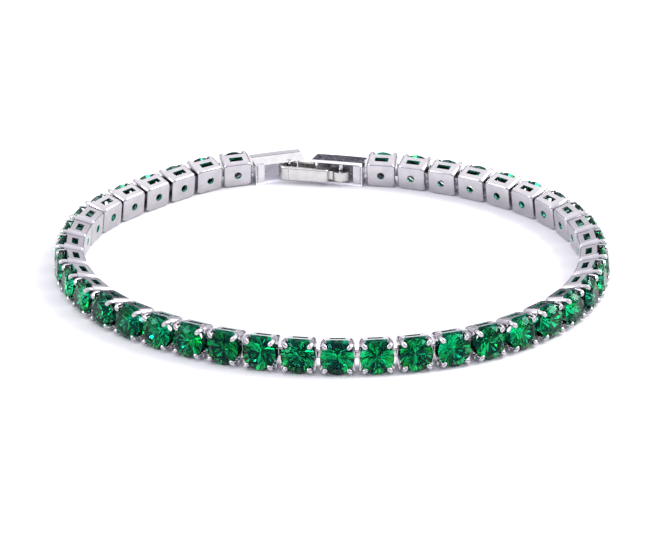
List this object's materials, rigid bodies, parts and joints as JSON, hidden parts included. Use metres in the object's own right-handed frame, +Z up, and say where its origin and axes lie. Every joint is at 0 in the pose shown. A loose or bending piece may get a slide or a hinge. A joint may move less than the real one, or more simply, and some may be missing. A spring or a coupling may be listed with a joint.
{
  "type": "tennis bracelet",
  "caption": "Closed bracelet of round green stones in open square box settings, with two hollow end links and a lobster clasp with a sprung lever.",
  "frame": {"origin": "middle of the underside of the closed bracelet lying on its side", "axes": "+Z up along the loop's axis, +Y towards the clasp, +X towards the end link that holds the clasp's eye"},
  "size_m": [0.0694, 0.063, 0.0041],
  "materials": {
    "green_stone": "polished facets",
    "bright_metal": "bright white plating",
    "clasp_metal": "bright white plating, softly worn"
  },
  "bodies": {
    "bracelet": {"stone_01": "green_stone", "stone_02": "green_stone", "stone_03": "green_stone", "stone_04": "green_stone", "stone_05": "green_stone", "stone_06": "green_stone", "stone_07": "green_stone", "stone_08": "green_stone", "stone_09": "green_stone", "stone_10": "green_stone", "stone_11": "green_stone", "stone_12": "green_stone", "stone_13": "green_stone", "stone_14": "green_stone", "stone_15": "green_stone", "stone_16": "green_stone", "stone_17": "green_stone", "stone_18": "green_stone", "stone_19": "green_stone", "stone_20": "green_stone", "stone_21": "green_stone", "stone_22": "green_stone", "stone_23": "green_stone", "stone_24": "green_stone", "stone_25": "green_stone", "stone_26": "green_stone", "stone_27": "green_stone", "stone_28": "green_stone", "stone_29": "green_stone", "stone_30": "green_stone", "stone_31": "green_stone", "stone_32": "green_stone", "stone_33": "green_stone", "stone_34": "green_stone", "stone_35": "green_stone", "stone_36": "green_stone", "stone_37": "green_stone", "stone_38": "green_stone", "stone_39": "green_stone", "stone_40": "green_stone", "chain_right": "bright_metal", "chain_left": "bright_metal", "end_link_right": "bright_metal", "end_link_left": "bright_metal", "clasp_body": "clasp_metal"},
    "lever": {"clasp_lever": "clasp_metal"}
  },
  "joints": [
    {"name": "clasp_lever_hinge", "type": "hinge", "parent": "bracelet", "child": "lever", "pos_m": [-0.00071, 0.02784, 0.00147], "axis": [0, 0, 1], "range_deg": [0, 22], "stiffness_Nm_per_rad": 0.001, "springref_deg": -11.46}
  ]
}
